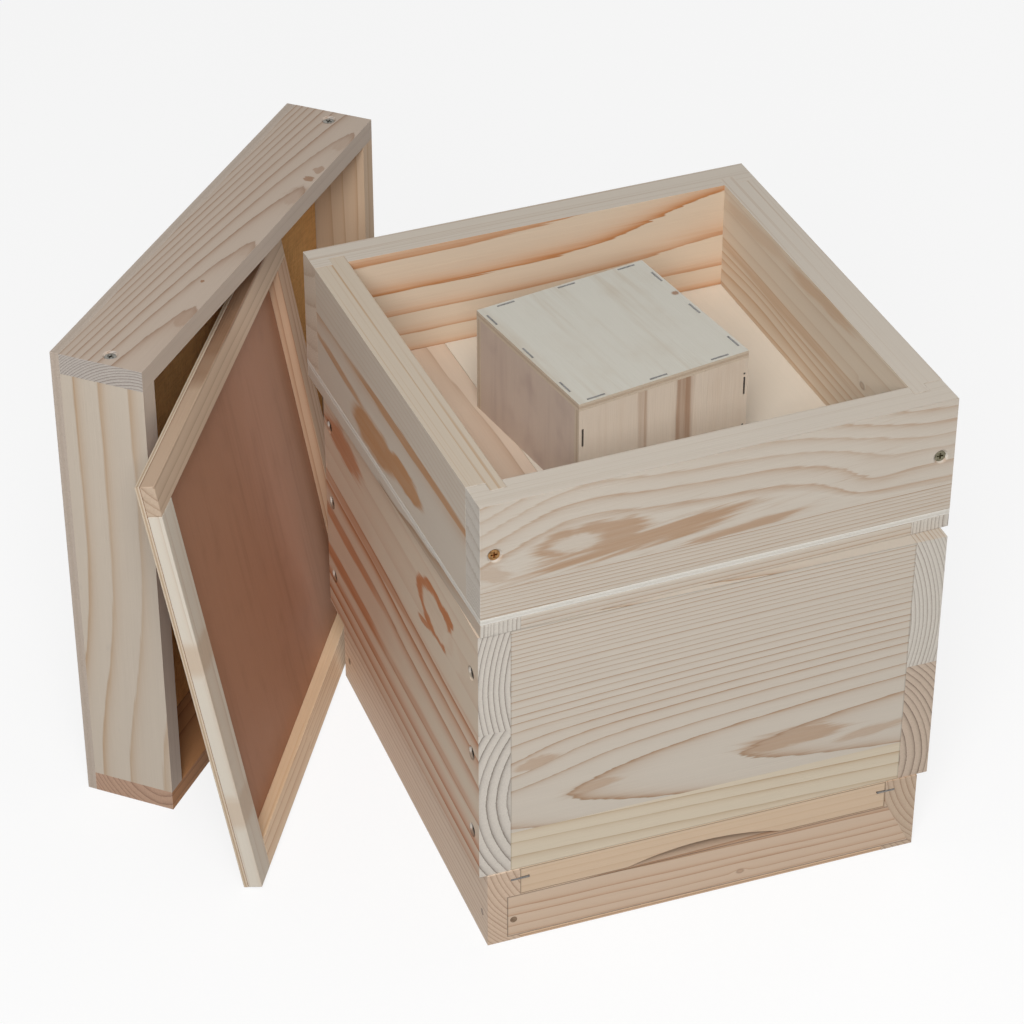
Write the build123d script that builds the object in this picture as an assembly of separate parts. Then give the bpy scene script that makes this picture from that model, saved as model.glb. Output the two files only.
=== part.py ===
from build123d import *
import math
import os

# Nucleus hive: a floor, a brood box with hanging frames and a feeder box with a hood, stacked,
# and beside the stack the roof standing on edge with the crown board leaning into it.
# Millimetres and degrees, +Z up, +X to the right of the entrance side, +Y to the back.
# Origin: the middle of the hive floor's underside.

# Brood box
brood_width = 296.0
brood_depth = 298.0
brood_height = 180.0
brood_side_wall = 20.0
brood_end_wall = 30.0
brood_shift_x = 1.2
brood_shift_y = 7.0
brood_screw_first = 28.0
brood_screw_pitch = 59.0
brood_screw_rows = 3
brood_screw_inset = 12.0

# Hive floor
floor_height = 55.0
floor_narrower = 12.0
floor_shallower = 12.0
floor_rail_width = 21.0
floor_cross_rail = 20.0
floor_panel_thickness = 3.0
front_rail_height = 32.0
front_rail_lap_left = 8.5
front_rail_lap_right_top = 2.0
front_rail_lap_right_bottom = 18.0
front_nail_height = 16.0
entrance_width = 103.0
entrance_height = 7.5
entrance_strip_thickness = 18.0
entrance_strip_recess = 0.5
entrance_staple_drop = 7.0

# Hanging frames
frame_count = 6
frame_pitch = 38.0
frame_bar_width = 25.0
frame_top_bar_height = 10.0
frame_side_bar_thickness = 9.0
frame_bottom_bar_height = 8.0
frame_rebate_depth = 8.0
frame_end_clearance = 1.5
frame_top_clearance = 1.0
frame_side_space = 8.5
frame_floor_space = 12.0

# Feeder box
feeder_wider = 4.0
feeder_deeper = 2.0
feeder_wall = 22.0
feeder_wall_height = 78.0
feeder_tongue_length = 8.0
feeder_tongue_thickness = 10.0
feeder_screw_inset = 9.0
feeder_yellow_screw_rise = 4.0
feeder_rim_height = 9.0
feeder_rim_width = 25.0
feeder_base_thickness = 4.0
feeder_sheet_thickness = 4.0
feeder_strip_width = 63.0
feeder_shift_x = -2.2
feeder_shift_y = 5.0
feeder_turn = 2.04
bee_hole_diameter = 50.0

# Hood over the bee hole
hood_width = 118.0
hood_depth = 121.0
hood_height = 70.0
hood_ply = 5.0
hood_shift_x = -5.8
hood_shift_y = 0.0
hood_turn = 8.2
hood_staple_pitch = 43.0
hood_front_staple_shift = -3.0
hood_back_staple_shift = 3.0
hood_left_staple_shift = 3.0
hood_right_staple_shift = -4.0
hood_upright_staple_height = 46.0
hood_pin_heights = (18.0, 54.5)

# Crown board
crown_ply = 3.0
crown_strip_thickness = 9.0
crown_strip_width = 21.0
crown_turn = -30.5
crown_lean = 9.9
crown_reach = 222.0
crown_gap = 0.8

# Roof
roof_board = 14.0
roof_depth = 61.0
roof_cover_ply = 6.0
roof_softboard_thickness = 19.0
roof_softboard_clearance = 1.0
roof_play = 2.0
roof_screw_inset = 10.5
roof_screw_depth = 35.0
roof_turn = -41.8
crown_into_roof = 233.0
lean_gap = 1.0

# Countersunk screws
screw_head = 7.2
screw_mouth = 9.6
screw_shank = 4.0
screw_length = 45.0
screw_sink = 1.2
screw_clearance = 0.25
screw_cross_length = 4.2
screw_cross_width = 1.1
screw_cross_depth = 1.4

# Nails, pins and staples
nail_head = 4.5
nail_head_thickness = 0.8
nail_shank = 2.4
nail_length = 42.0
pin_diameter = 1.4
pin_length = 14.0
staple_width = 12.0
staple_wire_width = 1.2
staple_wire_thickness = 0.7
staple_leg = 9.0
staple_proud = 0.2

# Sizes that follow from the ones above
floor_width = brood_width - floor_narrower
floor_depth = brood_depth - floor_shallower
feeder_width = brood_width + feeder_wider
feeder_depth = brood_depth + feeder_deeper
brood_inner_width = brood_width - 2 * brood_side_wall
brood_inner_depth = brood_depth - 2 * brood_end_wall
feeder_inner_width = feeder_width - 2 * feeder_wall
feeder_inner_depth = feeder_depth - 2 * feeder_wall
feeder_base_top = feeder_rim_height + feeder_base_thickness
feeder_wall_top = feeder_base_top + feeder_wall_height
feeder_inner_floor = feeder_base_top + feeder_sheet_thickness
crown_thickness = crown_ply + crown_strip_thickness
crown_length = feeder_width
crown_height = feeder_depth
roof_length = feeder_width + 2 * (roof_play + roof_board)
roof_height = feeder_depth + 2 * (roof_play + roof_board)

# Places of the stacked boxes
brood_place = Pos(brood_shift_x, brood_shift_y, floor_height)
feeder_place = brood_place * Pos(feeder_shift_x, feeder_shift_y, brood_height) * Rot(0, 0, feeder_turn)
hood_place = feeder_place * Pos(hood_shift_x, hood_shift_y, feeder_inner_floor) * Rot(0, 0, hood_turn)

nodes = {}


def block(x, y, z):
    """A box between two values on each axis."""
    size = Box(x[1] - x[0], y[1] - y[0], z[1] - z[0], align=Align.MIN)
    return Pos(x[0], y[0], z[0]) * size


def cut_from(piece, tools):
    """A piece with each tool cut out of it."""
    for tool in tools:
        piece = piece - tool
    return piece


def add(name, *solids):
    """Keep the solids of one named piece or group of fasteners."""
    nodes[name] = list(solids)


# Fasteners point along -Z from their head at the origin

def screw_form(grow):
    """Countersunk screw without its cross, thicker all round by grow."""
    head_radius = screw_head / 2 + grow
    shank_radius = screw_shank / 2 + grow
    cone_height = head_radius - shank_radius
    top = (Align.CENTER, Align.CENTER, Align.MAX)
    head = Cone(shank_radius, head_radius, cone_height, align=top)
    shank_length = screw_length + grow - cone_height
    shank = Pos(0, 0, -cone_height) * Cylinder(shank_radius, shank_length, align=top)
    return Pos(0, 0, -screw_sink) * (head + shank)


def screw():
    """Countersunk screw with a cross recess, its head sunk below the surface."""
    bar = Box(screw_cross_length, screw_cross_width, 2 * screw_cross_depth)
    cross = Pos(0, 0, -screw_sink) * (bar + Rot(0, 0, 90) * bar)
    return screw_form(0) - cross


def screw_hole():
    """The hole that a screw sits in, flared at the surface."""
    head_radius = screw_head / 2 + screw_clearance
    flare = screw_mouth / 2 - head_radius
    mouth = Cone(head_radius, head_radius + 2 * flare, 2 * screw_sink)
    return screw_form(screw_clearance) + mouth


def nail():
    """Round nail with a flat head, flush with the surface."""
    top = (Align.CENTER, Align.CENTER, Align.MAX)
    head = Cylinder(nail_head / 2, nail_head_thickness, align=top)
    return head + Cylinder(nail_shank / 2, nail_length, align=top)


def pin():
    """Thin headless pin, flush with the surface."""
    return Cylinder(pin_diameter / 2, pin_length, align=(Align.CENTER, Align.CENTER, Align.MAX))


def staple():
    """Wire staple whose crown lies along X."""
    half = staple_width / 2
    wide = (-staple_wire_width / 2, staple_wire_width / 2)
    crown = block((-half, half), wide, (staple_proud - staple_wire_thickness, staple_proud))
    leg = block((0, staple_wire_thickness), wide, (-staple_leg, staple_proud))
    return crown + Pos(-half, 0, 0) * leg + Pos(half - staple_wire_thickness, 0, 0) * leg


# Turns that point a fastener into a face
into_front = Rot(90, 0, 0)
into_back = Rot(-90, 0, 0)
into_left = Rot(0, -90, 0)
into_right = Rot(0, 90, 0)
into_top = Rot(0, 0, 0)
into_bottom = Rot(180, 0, 0)


def make_floor():
    """Side rails, lapped front rail, back rail, panel and stapled entrance strip."""
    half_width = floor_width / 2
    front = -floor_depth / 2
    back = floor_depth / 2
    inner = half_width - floor_rail_width
    rail_top = floor_panel_thickness + front_rail_height
    nail_height = floor_panel_thickness + front_rail_height / 2

    # Front rail: square lap on the left, slanted lap on the right
    outline = Polyline(
        (-inner - front_rail_lap_left, floor_panel_thickness),
        (inner + front_rail_lap_right_bottom, floor_panel_thickness),
        (inner + front_rail_lap_right_top, rail_top),
        (-inner - front_rail_lap_left, rail_top),
        close=True,
    )
    front_rail = extrude(Plane.XZ.offset(-front) * make_face(outline), -floor_cross_rail)

    # Entrance strip with the arched slot in its lower edge
    strip_front = front + entrance_strip_recess
    strip_back = strip_front + entrance_strip_thickness
    arch = ThreePointArc(
        (-entrance_width / 2, rail_top), (0, rail_top + entrance_height), (entrance_width / 2, rail_top)
    )
    slot_face = make_face(Curve() + [arch, Line(arch @ 1, arch @ 0)])
    slot = extrude(Plane.XZ.offset(-strip_front) * slot_face, -entrance_strip_thickness)
    between_rails = (-inner, inner)
    strip = block(between_rails, (strip_front, strip_back), (rail_top, floor_height)) - slot

    # Nails through the side rails into the cross rails, and one through the left lap
    nail_rows = [front + floor_cross_rail / 2, back - floor_cross_rail / 2]
    nails = [Pos(-inner - front_rail_lap_left / 2, front, front_nail_height) * into_front * nail()]
    for row in nail_rows:
        nails.append(Pos(-half_width, row, nail_height) * into_left * nail())
        nails.append(Pos(half_width, row, nail_height) * into_right * nail())

    # Staples across the joints between the strip and the side rails
    staple_height = floor_height - entrance_staple_drop
    staples = [Pos(side * inner, front, staple_height) * into_front * staple() for side in (-1, 1)]

    full_depth = (front, back)
    full_height = (0, floor_height)
    over_panel = (floor_panel_thickness, floor_height)
    left_rail = block((-half_width, -inner), full_depth, full_height)
    right_rail = block((inner, half_width), full_depth, full_height)
    back_rail = block(between_rails, (back - floor_cross_rail, back), over_panel)
    fasteners = nails + staples
    add("floor_left_rail", cut_from(left_rail, [front_rail] + fasteners))
    add("floor_right_rail", cut_from(right_rail, [front_rail] + fasteners))
    add("floor_front_rail", cut_from(front_rail, nails))
    add("floor_back_rail", cut_from(back_rail, nails))
    add("floor_panel", block(between_rails, full_depth, (0, floor_panel_thickness)))
    add("entrance_strip", cut_from(strip, staples))
    add("entrance_staples", *staples)
    add("floor_nails", *nails)


def make_brood_box():
    """Side walls over the full depth, rebated end walls between them, screws in the corners."""
    half_width = brood_width / 2
    half_depth = brood_depth / 2
    half_inner = brood_inner_width / 2
    between_sides = (-half_inner, half_inner)
    height = (0, brood_height)
    rebate_floor = brood_height - frame_top_bar_height - frame_top_clearance
    screw_row = half_depth - brood_screw_inset

    turns = {-1: into_left, 1: into_right}
    places = []
    for level in range(brood_screw_rows):
        z = brood_screw_first + level * brood_screw_pitch
        for side, turn in turns.items():
            places += [Pos(side * half_width, end * screw_row, z) * turn for end in (-1, 1)]
    holes = [place * screw_hole() for place in places]

    rebate_reach = brood_inner_depth / 2 + frame_rebate_depth
    rebate = block(between_sides, (-rebate_reach, rebate_reach), (rebate_floor, brood_height))
    end_wall = block(between_sides, (-half_depth, -brood_inner_depth / 2), height) - rebate
    side_wall = block((-half_width, -half_inner), (-half_depth, half_depth), height)
    add("brood_left_wall", brood_place * cut_from(side_wall, holes))
    add("brood_right_wall", brood_place * cut_from(Rot(0, 0, 180) * side_wall, holes))
    add("brood_front_wall", brood_place * cut_from(end_wall, holes))
    add("brood_back_wall", brood_place * cut_from(Rot(0, 0, 180) * end_wall, holes))
    add("brood_screws", *[brood_place * place * screw() for place in places])


def make_frames():
    """Hanging frames on the rebates, side by side along X."""
    top = brood_height - frame_top_clearance
    top_bar_floor = top - frame_top_bar_height
    half_bar = frame_bar_width / 2
    half_top_bar = brood_inner_depth / 2 + frame_rebate_depth - frame_end_clearance
    half_length = brood_inner_depth / 2 - frame_side_space
    half_window = half_length - frame_side_bar_thickness
    wide = (-half_bar, half_bar)
    bottom_bar_height = (frame_floor_space, frame_floor_space + frame_bottom_bar_height)
    top_bar = block(wide, (-half_top_bar, half_top_bar), (top_bar_floor, top))
    side_bar = block(wide, (half_window, half_length), (frame_floor_space, top_bar_floor))
    bottom_bar = block(wide, (-half_window, half_window), bottom_bar_height)
    for index in range(frame_count):
        place = brood_place * Pos((index - (frame_count - 1) / 2) * frame_pitch, 0, 0)
        lower_bars = [side_bar, Rot(0, 0, 180) * side_bar, bottom_bar]
        add(f"frame_{index + 1}_top_bar", place * top_bar)
        add(f"frame_{index + 1}_lower_bars", *[place * bar for bar in lower_bars])


def make_feeder():
    """Rim strips, base plywood, floor layer and four walls joined by tongues."""
    half_width = feeder_width / 2
    half_depth = feeder_depth / 2
    half_inner_x = feeder_inner_width / 2
    half_inner_y = feeder_inner_depth / 2
    across = (-half_width, half_width)
    along = (-half_depth, half_depth)

    # Rim strips under the base
    rim_inner_x = half_width - feeder_rim_width
    rim_inner_y = half_depth - feeder_rim_width
    rim_height = (0, feeder_rim_height)
    rim_side = block((-half_width, -rim_inner_x), along, rim_height)
    rim_end = block((-rim_inner_x, rim_inner_x), (-half_depth, -rim_inner_y), rim_height)

    # Base plywood, and on it a pine strip and a sheet side by side
    hole_reach = 2 * feeder_inner_floor
    bee_hole = Pos(hood_shift_x, hood_shift_y, 0) * Cylinder(bee_hole_diameter / 2, hole_reach)
    base = block(across, along, (feeder_rim_height, feeder_base_top)) - bee_hole
    layer = (feeder_base_top, feeder_inner_floor)
    strip_edge = -half_inner_x + feeder_strip_width
    strip = block((-half_inner_x, strip_edge), (-half_inner_y, half_inner_y), layer)
    sheet = block((strip_edge, half_inner_x), (-half_inner_y, half_inner_y), layer) - bee_hole

    # Walls: tongues along the inside of the side walls sit in grooves of the front and back walls
    wall_height = (feeder_base_top, feeder_wall_top)
    tongue_reach = half_inner_y + feeder_tongue_length
    tongue_outside = half_inner_x + feeder_tongue_thickness
    tongues = block((-tongue_outside, -half_inner_x), (-tongue_reach, tongue_reach), wall_height)
    side_wall = block((-half_width, -half_inner_x), (-half_inner_y, half_inner_y), wall_height) + tongues
    opposite_side_wall = Rot(0, 0, 180) * side_wall
    front_wall = block(across, (-half_depth, -half_inner_y), wall_height)
    front_wall = front_wall - side_wall - opposite_side_wall

    screw_x = half_width - feeder_screw_inset
    screw_z = (feeder_base_top + feeder_wall_top) / 2
    yellow_place = Pos(-screw_x, -half_depth, screw_z + feeder_yellow_screw_rise) * into_front
    grey_places = [
        Pos(screw_x, -half_depth, screw_z) * into_front,
        Pos(-screw_x, half_depth, screw_z) * into_back,
        Pos(screw_x, half_depth, screw_z) * into_back,
    ]
    holes = [place * screw_hole() for place in [yellow_place] + grey_places]
    half_turn = Rot(0, 0, 180)

    add("feeder_rim_left", feeder_place * rim_side)
    add("feeder_rim_right", feeder_place * half_turn * rim_side)
    add("feeder_rim_front", feeder_place * rim_end)
    add("feeder_rim_back", feeder_place * half_turn * rim_end)
    add("feeder_base_ply", feeder_place * base)
    add("feeder_floor_strip", feeder_place * strip)
    add("feeder_floor_sheet", feeder_place * sheet)
    add("feeder_left_wall", feeder_place * cut_from(side_wall, holes))
    add("feeder_right_wall", feeder_place * cut_from(opposite_side_wall, holes))
    add("feeder_front_wall", feeder_place * cut_from(front_wall, holes))
    add("feeder_back_wall", feeder_place * cut_from(half_turn * front_wall, holes))
    add("feeder_yellow_screw", feeder_place * yellow_place * screw())
    add("feeder_screws", *[feeder_place * place * screw() for place in grey_places])


def make_hood():
    """Box of thin plywood, open below, stapled and pinned together."""
    half_width = hood_width / 2
    half_depth = hood_depth / 2
    half_inner_x = half_width - hood_ply
    half_inner_y = half_depth - hood_ply
    under_top = hood_height - hood_ply
    middle = hood_ply / 2
    top = block((-half_width, half_width), (-half_depth, half_depth), (under_top, hood_height))
    front = block((-half_width, half_width), (-half_depth, -half_inner_y), (0, under_top))
    left = block((-half_width, -half_inner_x), (-half_inner_y, half_inner_y), (0, under_top))

    edge_x = half_width - middle
    edge_y = half_depth - middle
    staples = []
    quarter_turn = Rot(0, 0, 90)
    for step in (-hood_staple_pitch, 0, hood_staple_pitch):
        staples += [
            Pos(step + hood_front_staple_shift, -edge_y, hood_height) * staple(),
            Pos(step + hood_back_staple_shift, edge_y, hood_height) * staple(),
            Pos(-edge_x, step + hood_left_staple_shift, hood_height) * quarter_turn * staple(),
            Pos(edge_x, step + hood_right_staple_shift, hood_height) * quarter_turn * staple(),
        ]
    upright = quarter_turn * staple()
    for side in (-1, 1):
        x = side * edge_x
        staples.append(Pos(x, -half_depth, hood_upright_staple_height) * into_front * upright)
        staples.append(Pos(x, half_depth, hood_upright_staple_height) * into_back * upright)
    pins = [Pos(edge_x, -half_depth, z) * into_front * pin() for z in hood_pin_heights]

    half_turn = Rot(0, 0, 180)
    fasteners = staples + pins
    add("hood_top", hood_place * cut_from(top, staples))
    add("hood_front_panel", hood_place * cut_from(front, fasteners))
    add("hood_back_panel", hood_place * cut_from(half_turn * front, staples))
    add("hood_left_panel", hood_place * cut_from(left, staples))
    add("hood_right_panel", hood_place * cut_from(half_turn * left, fasteners))
    add("hood_staples", *[hood_place * piece for piece in staples])
    add("hood_pins", *[hood_place * piece for piece in pins])


def along_and_out(turn):
    """Level directions of a panel that stands turned about Z: out of its face, and along it."""
    angle = math.radians(turn)
    out = Vector(math.cos(angle), math.sin(angle), 0)
    return out, Vector(-math.sin(angle), math.cos(angle), 0)


def crown_board_place():
    """Stand the crown board just clear of the stack's back left corners, leaning away from it."""
    out, along = along_and_out(crown_turn)
    lean = math.radians(crown_lean)
    floor_corner = Vector(-floor_width / 2, floor_depth / 2, 0)
    brood_corner = (brood_place * Pos(-brood_width / 2, brood_depth / 2, 0)).position
    feeder_corner = (feeder_place * Pos(-feeder_width / 2, feeder_depth / 2, 0)).position
    lines = []
    for corner in (floor_corner, brood_corner, feeder_corner):
        face_here = crown_thickness / math.cos(lean) - corner.Z * math.tan(lean)
        lines.append(corner.dot(out) - face_here)
    foot = out * (min(lines) - crown_gap) + along * (floor_corner.dot(along) - crown_reach)
    return Location(foot) * Rot(0, 0, crown_turn) * Rot(0, -crown_lean, 0)


def make_crown_board():
    """Plywood panel with a frame of strips on the face towards the stack."""
    place = crown_board_place()
    face = (crown_ply, crown_thickness)
    inner_y = (crown_strip_width, crown_length - crown_strip_width)
    stile_height = (0, crown_height - crown_strip_width)
    near_stile = block(face, (0, crown_strip_width), stile_height)
    add("crown_panel", place * block((0, crown_ply), (0, crown_length), (0, crown_height)))
    add("crown_top_rail", place * block(face, (0, crown_length), (stile_height[1], crown_height)))
    add("crown_bottom_rail", place * block(face, inner_y, (0, crown_strip_width)))
    add("crown_near_stile", place * near_stile)
    add("crown_far_stile", place * Pos(0, inner_y[1], 0) * near_stile)


def roof_place():
    """Stand the roof so that its lining just meets the crown board's far top corner."""
    out, along = along_and_out(roof_turn)
    corner = (crown_board_place() * Pos(0, crown_length, crown_height)).position
    lining_face = roof_cover_ply + roof_softboard_thickness
    foot_out = corner.dot(out) - lining_face - lean_gap
    foot_along = corner.dot(along) - crown_into_roof
    return Location(out * foot_out + along * foot_along) * Rot(0, 0, roof_turn)


def make_roof():
    """Four boards round a fibreboard lining, with a plywood cover on the outside."""
    place = roof_place()
    inner_y = (roof_board, roof_length - roof_board)
    inner_z = (roof_board, roof_height - roof_board)
    depth = (roof_cover_ply, roof_depth)
    lining_depth = (roof_cover_ply, roof_cover_ply + roof_softboard_thickness)
    lining_y = (inner_y[0] + roof_softboard_clearance, inner_y[1] - roof_softboard_clearance)
    lining_z = (inner_z[0] + roof_softboard_clearance, inner_z[1] - roof_softboard_clearance)

    screw_rows = [roof_screw_inset, roof_length - roof_screw_inset]
    screw_places = [Pos(roof_screw_depth, row, roof_height) * into_top for row in screw_rows]
    screw_places += [Pos(roof_screw_depth, row, 0) * into_bottom for row in screw_rows]
    holes = [where * screw_hole() for where in screw_places]

    full_length = (0, roof_length)
    upper = block(depth, full_length, (inner_z[1], roof_height))
    lower = block(depth, full_length, (0, roof_board))
    near = block(depth, (0, roof_board), inner_z)
    far = block(depth, (inner_y[1], roof_length), inner_z)
    add("roof_upper_side", place * cut_from(upper, holes))
    add("roof_lower_side", place * cut_from(lower, holes))
    add("roof_near_side", place * cut_from(near, holes))
    add("roof_far_side", place * cut_from(far, holes))
    add("roof_cover_ply", place * block((0, roof_cover_ply), full_length, (0, roof_height)))
    add("roof_softboard", place * block(lining_depth, lining_y, lining_z))
    add("roof_screws", *[place * where * screw() for where in screw_places])


make_floor()
make_brood_box()
make_frames()
make_feeder()
make_hood()
make_crown_board()
make_roof()

os.makedirs("parts", exist_ok=True)
for name, solids in nodes.items():
    shape = solids[0] if len(solids) == 1 else Compound(children=solids)
    export_step(shape, f"parts/{name}.step")
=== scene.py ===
from dataclasses import dataclass
import math

import bpy
import numpy as np
from mathutils import Matrix, Vector

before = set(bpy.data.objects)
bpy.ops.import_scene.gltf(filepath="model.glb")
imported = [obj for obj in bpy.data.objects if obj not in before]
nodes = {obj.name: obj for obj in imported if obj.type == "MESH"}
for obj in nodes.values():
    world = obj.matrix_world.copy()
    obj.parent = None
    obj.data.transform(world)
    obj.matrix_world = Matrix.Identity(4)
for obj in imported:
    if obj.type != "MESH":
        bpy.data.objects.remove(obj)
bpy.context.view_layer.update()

# Looks of the nucleus hive: sawn pine boards, thin plywood, fibreboard and plated fasteners.
# Places inside a board are millimetres from its middle: along its grain, across its width and
# through its thickness. Colours are written as 0 to 255 on a screen.

MILLIMETRE = 0.001

# Camera: its place in metres, where it looks in degrees, its lens and sensor in millimetres
CAMERA_EYE = (-0.6647, -1.6343, 1.4290)
CAMERA_AZIMUTH = -19.85
CAMERA_ELEVATION = 35.0
CAMERA_LENS = 121.94
CAMERA_SENSOR = 36.0

# Light: a weak sky and three large lamps, by the camera, above it and behind the hive. Each lamp has
# the direction from the hive to it and its power in watts. Its distance and size are metres
AMBIENT = 0.23
LAMP_DISTANCE = 3.0
LAMP_SIZE = 1.5
LAMPS = {
    "key": ((-0.33, -0.70, 0.63), 58.0),
    "overhead": ((-0.20, -0.45, 0.87), 19.0),
    "back": ((0.75, 0.55, 0.36), 12.0),
}

# Floor: grey where it throws light on the hive, white where it is seen, with a share of that white
# glowing. Its size and its drop below the hive are metres
FLOOR_GREY = 0.50
FLOOR_WHITE = 0.94
FLOOR_GLOW = 0.80
FLOOR_SIZE = 14.0
FLOOR_DROP = 0.0003

# Eased edges: their widths on boards and on thin sheets, in metres, and the least angle between the
# faces of such an edge, in degrees
BOARD_EASE = 0.0006
SHEET_EASE = 0.0003
EASE_SEGMENTS = 2
SHARP_ANGLE = 40.0

# Points this close, in metres, and faces this flat, in degrees, are joined before edges are eased
WELD_DISTANCE = 0.00001
FLAT_ANGLE = 0.5

# Faces of a board: how square to its wide faces the others are, as the cosine of the angle between
# them, and the cosines between which a face starts to look along an axis
SQUARE_COSINE = 0.05
FACING_COSINES = (0.55, 0.8)

# How deep the bump of each material looks, in metres
PINE_RELIEF = 0.00012
PLYWOOD_RELIEF = 0.0001
FIBREBOARD_RELIEF = 0.0003
SHEET_RELIEF = 0.00006
METAL_RELIEF = 0.00005

# Seeds are this far apart between pieces, between the planks of a board and between patches
PIECE_SEED = 3.7
PLANK_SEED = 4.7
PATCH_SEED = 1.9

# Noise lies about its middle and is spread to reach from about -1 to 1
NOISE_MIDDLE = 0.5
NOISE_SPREAD = 4.0


def rgb(red, green, blue):
    """A screen colour as a linear one."""
    def linear(value):
        share = value / 255
        return share / 12.92 if share <= 0.04045 else ((share + 0.055) / 1.055) ** 2.4
    return (linear(red), linear(green), linear(blue), 1.0)


# Pine tones: earlywood and latewood on the faces, then on the end grain
TONES = {
    "pale": (rgb(194, 184, 171), rgb(162, 127, 95), rgb(202, 195, 185), rgb(122, 104, 88)),
    "linen": (rgb(194, 184, 171), rgb(162, 127, 95), rgb(202, 195, 185), rgb(176, 164, 150)),
    "tan": (rgb(210, 194, 174), rgb(178, 101, 42), rgb(202, 194, 184), rgb(84, 69, 57)),
    "ash": (rgb(198, 187, 173), rgb(174, 124, 78), rgb(204, 197, 187), rgb(136, 116, 98)),
    "brown": (rgb(196, 175, 156), rgb(150, 98, 64), rgb(192, 173, 155), rgb(78, 58, 46)),
    "warm": (rgb(209, 191, 169), rgb(196, 136, 88), rgb(204, 190, 174), rgb(180, 158, 138)),
    "straw": (rgb(214, 200, 181), rgb(190, 150, 112), rgb(208, 196, 180), rgb(156, 128, 102)),
    "grey": (rgb(184, 168, 153), rgb(140, 104, 76), rgb(181, 172, 164), rgb(70, 58, 50)),
    "cream": (rgb(192, 178, 160), rgb(168, 134, 98), rgb(196, 180, 160), rgb(150, 122, 98)),
    "ivory": (rgb(208, 199, 185), rgb(178, 142, 106), rgb(206, 192, 174), rgb(150, 122, 98)),
    "dim": (rgb(196, 186, 173), rgb(166, 140, 116), rgb(196, 184, 168), rgb(150, 122, 98)),
    "chalk": (rgb(197, 187, 174), rgb(186, 173, 157), rgb(196, 184, 168), rgb(150, 122, 98)),
    # A paler tone for the roof boards' edges, which lie in shade: painted light
    "painted_light_edges": (rgb(190, 175, 161), rgb(178, 161, 146), rgb(190, 184, 176), rgb(116, 102, 90)),
    "amber": (rgb(230, 206, 178), rgb(204, 160, 118), rgb(204, 180, 152), rgb(150, 122, 98)),
    "butter": (rgb(202, 189, 168), rgb(172, 142, 106), rgb(196, 180, 160), rgb(150, 122, 98)),
    "honey": (rgb(202, 178, 152), rgb(178, 138, 102), rgb(190, 168, 146), rgb(150, 122, 98)),
    "rose": (rgb(218, 198, 178), rgb(184, 146, 116), rgb(200, 176, 154), rgb(138, 106, 84)),
    "peach": (rgb(198, 175, 153), rgb(166, 120, 84), rgb(190, 168, 146), rgb(140, 108, 84)),
    "apricot": (rgb(215, 187, 154), rgb(198, 158, 118), rgb(204, 180, 152), rgb(150, 122, 98)),
    "copper": (rgb(192, 160, 133), rgb(160, 110, 74), rgb(190, 168, 146), rgb(140, 108, 84)),
    "cocoa": (rgb(202, 178, 154), rgb(138, 104, 78), rgb(190, 168, 146), rgb(150, 122, 98)),
    "parchment": (rgb(192, 180, 165), rgb(168, 134, 98), rgb(196, 180, 160), rgb(150, 122, 98)),
    "russet": (rgb(180, 130, 88), rgb(146, 94, 58), rgb(180, 148, 126), rgb(120, 88, 70)),
}
KNOT_BROWN = rgb(140, 98, 66)
KNOT_HEART = rgb(96, 66, 46)
STAIN_GREY = rgb(150, 146, 142)

# Growth rings: the dark outer edge of latewood, as a share of its fade, how far rings are drawn out to
# a point where they cross the pith, how much of their straying is quick, and how many have like widths
LATEWOOD_EDGE = 0.3
TIP_DRAW = 3.0
WAVE_SHARE = 0.25
RINGS_ALIKE = 3.0

# End grain: how latewood fades inwards and how softly it starts, as shares of a ring
END_FADE = 0.18
END_SOFT = 0.06

# Knots: how far rings bend round them, along and across, in radii, by how many rings, and how much
# longer than wide the knots are
KNOT_REACH = (3.5, 1.8)
KNOT_PUSH = 0.45
KNOT_STRETCH = 1.5

# Patches of latewood end where their humps fall to this height. The bulges of their outlines are as
# long as this share of half their length
OVAL_EDGE = 0.37
BULGE_SHARE = 0.7

# Screw bores, with painted shade that darkens them inside, and a soft outline
BORE_RADIUS = 4.2
BORE_SHADE = 0.4
BORE_SOFT = 0.1

# Dark seams where a board meets the next ones: painted shade of the gaps between the parts
SEAM_SHADE_WIDTH = 1.2

# Layers in thin plywood
PLY_LAYERS = 3.0

# Finger joints: their teeth, and how far the rings beyond them lie from those before
JOINT_TOOTH_WIDTH = 5.0
JOINT_TOOTH_LENGTH = 9.0
JOINT_SHIFT = 21.0


@dataclass
class Mark:
    """A kind of marking, made of noise.

    size is how large its features are, in millimetres along, across and through the piece. step sets
    its seed apart from those of the piece's other markings, and detail is how fine it goes.
    """
    size: tuple
    step: float = 0.0
    detail: float = 2.0


# Markings of pine
DRIFT = Mark((420, 110, 110), detail=1.0)
WAVE = Mark((110, 22, 22), step=1.3)
FEATHER = Mark((60, 1.6, 1.6), step=2.9, detail=3.0)
BOLDNESS = Mark((190, 30, 30), step=9.4)
FIBRES = Mark((45, 0.9, 0.9), step=4.1, detail=3.0)
STREAKS = Mark((320, 5, 5), step=5.7)
TINT = Mark((260, 45, 45), step=6.3)
EDGE_LINES = Mark((400, 400, 1.5), step=8.3, detail=1.0)
STAIN_CLOUD = Mark((26, 14, 14), step=8.9, detail=3.0)
PORES = Mark((0.9, 0.9, 0.9), step=7.7)
PATCH_STROKES = Mark((42, 1.8, 1.0), detail=3.0)

# Markings of plywood
BROAD_STREAKS = Mark((150, 14, 60))
NARROW_STREAKS = Mark((70, 3.5, 60), step=1.1, detail=3.0)
VENEER_CLOUD = Mark((34, 26, 60), step=2.3, detail=3.0)
VENEER_FIBRES = Mark((22, 0.9, 0.9), step=3.9, detail=3.0)
LAYER_GRAINS = Mark((1.2, 1.2, 0.5), step=5.3)

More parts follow.
